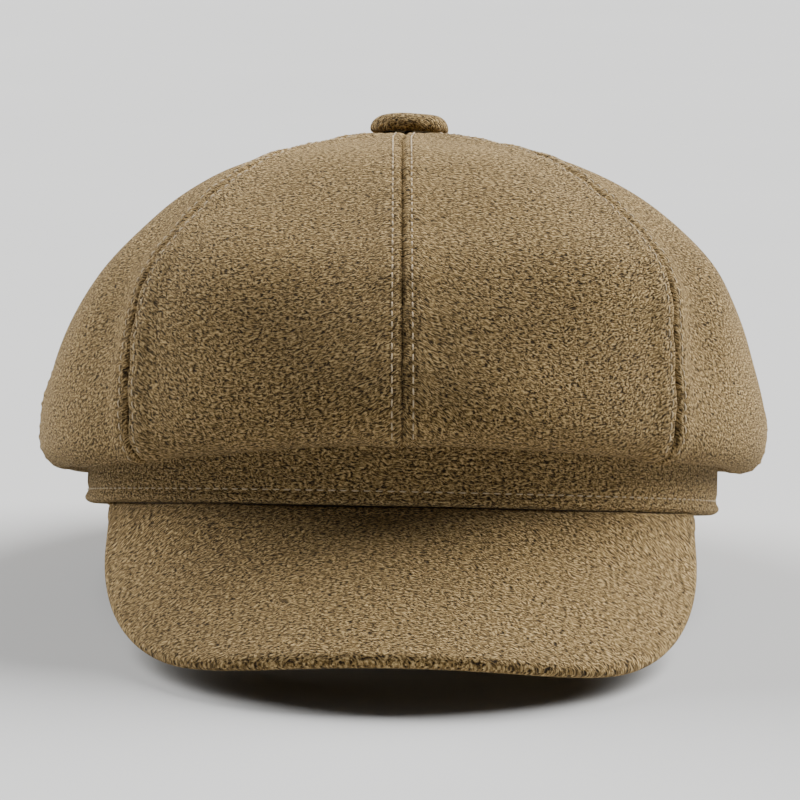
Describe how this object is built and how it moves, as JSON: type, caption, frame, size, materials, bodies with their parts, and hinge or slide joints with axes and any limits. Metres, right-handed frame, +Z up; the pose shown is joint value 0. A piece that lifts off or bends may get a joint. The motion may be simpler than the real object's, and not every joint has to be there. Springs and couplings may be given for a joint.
{
  "type": "newsboy cap",
  "caption": "Full newsboy cap in pebbled wool: panelled crown that rolls over a plain band, arched stiff peak and a cloth-covered top button.",
  "frame": {"origin": "on the table, under the middle of the cap's bounding box", "axes": "+Z up, -Y the way the peak points, +X to the right as seen from the front"},
  "size_m": [0.2038, 0.2774, 0.1312],
  "materials": {
    "wool_shell": "pebbled wool weave",
    "lining_satin": "smooth satin lining",
    "stiffening": "plain bonded cloth",
    "sweatband_twill": "flat twill tape",
    "label_tape": "plain woven tape",
    "tinplate": "stamped tinplate",
    "thread": "waxed thread",
    "board": "moulded sheet"
  },
  "bodies": {
    "cap": {"crown_front_right": "wool_shell", "lining_front_right": "lining_satin", "crown_side_front_right": "wool_shell", "lining_side_front_right": "lining_satin", "crown_side_back_right": "wool_shell", "lining_side_back_right": "lining_satin", "crown_back_right": "wool_shell", "lining_back_right": "lining_satin", "crown_back_left": "wool_shell", "lining_back_left": "lining_satin", "crown_side_back_left": "wool_shell", "lining_side_back_left": "lining_satin", "crown_side_front_left": "wool_shell", "lining_side_front_left": "lining_satin", "crown_front_left": "wool_shell", "lining_front_left": "lining_satin", "band_cloth": "wool_shell", "band_interlining": "stiffening", "sweatband": "sweatband_twill", "size_label": "label_tape"},
    "peak": {"peak_top_cloth": "wool_shell", "peak_under_cloth": "wool_shell", "peak_board": "board"},
    "button": {"button_cloth": "wool_shell", "button_shell": "tinplate", "button_back": "tinplate", "button_shank": "thread"}
  },
  "joints": [
    {"name": "peak_tip", "type": "hinge", "parent": "cap", "child": "peak", "pos_m": [0, -0.08113, 0.04061], "axis": [-1, 0, 0], "range_deg": [0, 12], "stiffness_Nm_per_rad": 3},
    {"name": "button_twist", "type": "hinge", "parent": "cap", "child": "button", "pos_m": [0, 0.03921, 0.12401], "axis": [0, 0.2031, 0.9792], "range_deg": [-30, 30], "stiffness_Nm_per_rad": 0.002}
  ]
}
